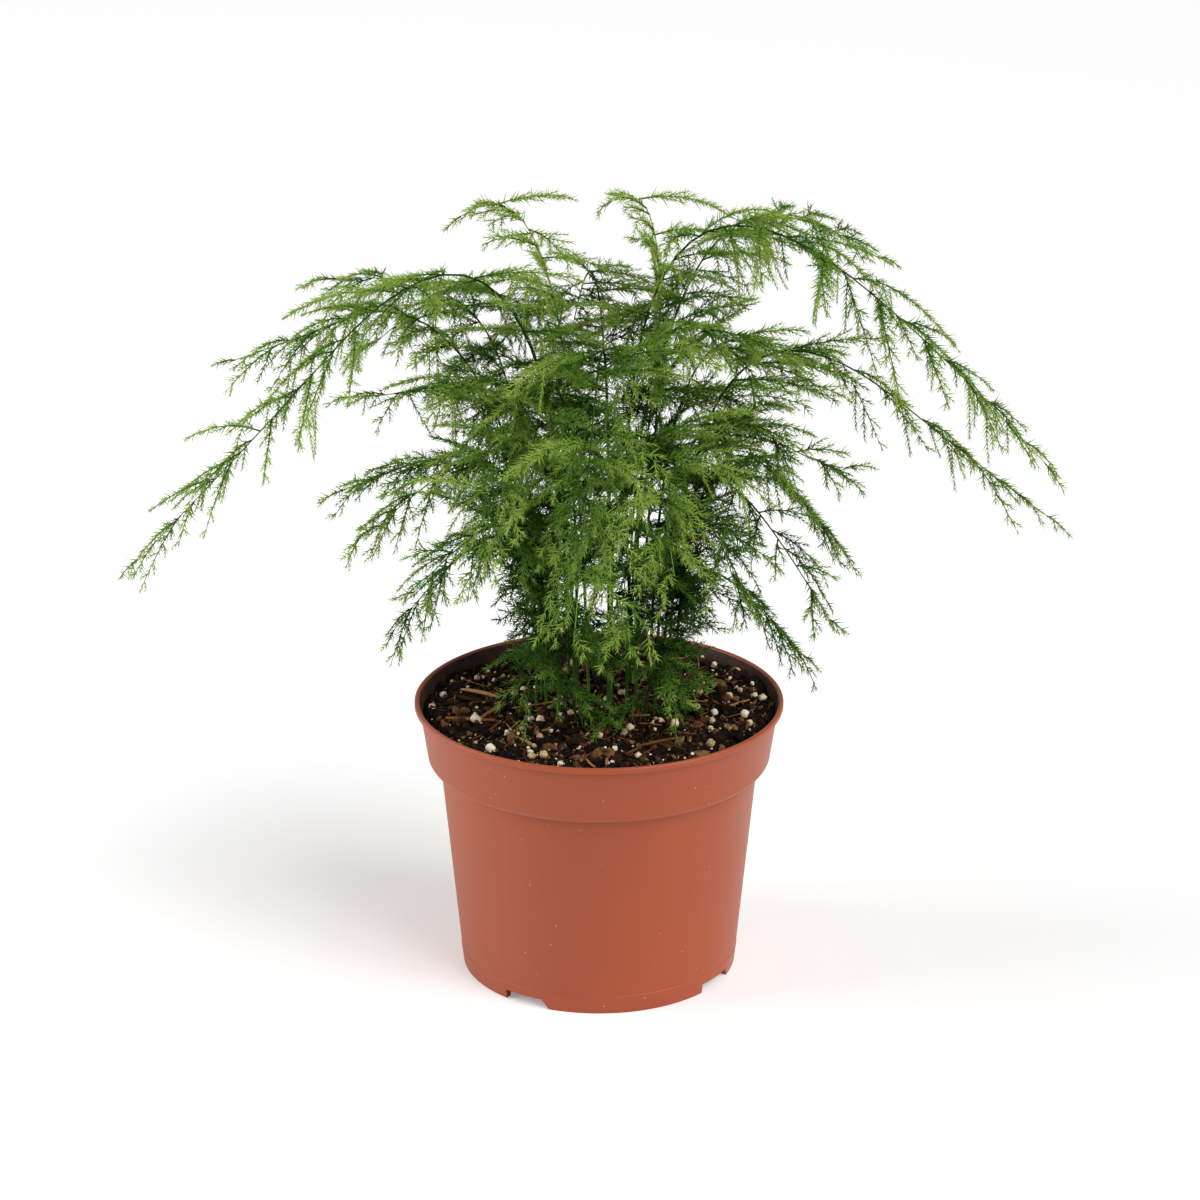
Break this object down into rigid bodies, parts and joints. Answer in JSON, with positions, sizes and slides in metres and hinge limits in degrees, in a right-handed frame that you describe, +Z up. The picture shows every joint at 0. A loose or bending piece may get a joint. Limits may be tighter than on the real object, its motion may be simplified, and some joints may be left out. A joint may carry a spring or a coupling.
{
  "type": "potted asparagus fern",
  "caption": "Houseplant with feathery needle foliage on thin arching stems, standing in a tapered round nursery pot of potting soil.",
  "frame": {"origin": "on the ground under the middle of the pot: bottom centre of the whole plant's box, which is the pot's axis to within 2 mm", "axes": "+Z up, along the pot's axis; +X to the right in the picture, the way of the plant's longest spread; +Y away from the viewer, so -Y is the front"},
  "size_m": [0.299, 0.213, 0.2592],
  "materials": {
    "pot": "satin injection-moulded polypropylene, terracotta colour",
    "soil": "loose dark potting soil of peat and bark fibre with white perlite grains",
    "frond": "fresh green needle-like foliage on thin dark green stems",
    "young_frond": "young yellow-green needle-like foliage on thin light green stems"
  },
  "bodies": {
    "root": {"pot": "pot", "soil": "soil", "frond_right_high": "frond", "frond_right_back": "frond", "frond_right_low": "frond", "frond_right_mid": "frond", "frond_right_shoulder": "frond", "frond_right_skirt": "frond", "frond_right_hem": "frond", "frond_left_long": "frond", "frond_left_high": "frond", "frond_left_back": "frond", "frond_left_mid": "frond", "frond_left_shoulder": "frond", "frond_left_skirt": "frond", "frond_left_hem": "frond", "frond_young_left": "young_frond", "frond_young_back": "young_frond", "frond_crown_left": "frond", "frond_crown_right": "frond", "frond_front_high": "frond", "frond_front_left": "frond", "frond_front_right": "frond", "frond_front_low_left": "frond", "frond_front_low": "frond", "frond_front_low_right": "frond", "frond_back_high": "frond", "frond_back_left": "frond", "frond_back_right": "frond", "sprig_front_left": "frond", "sprig_front_right": "frond"}
  },
  "joints": []
}
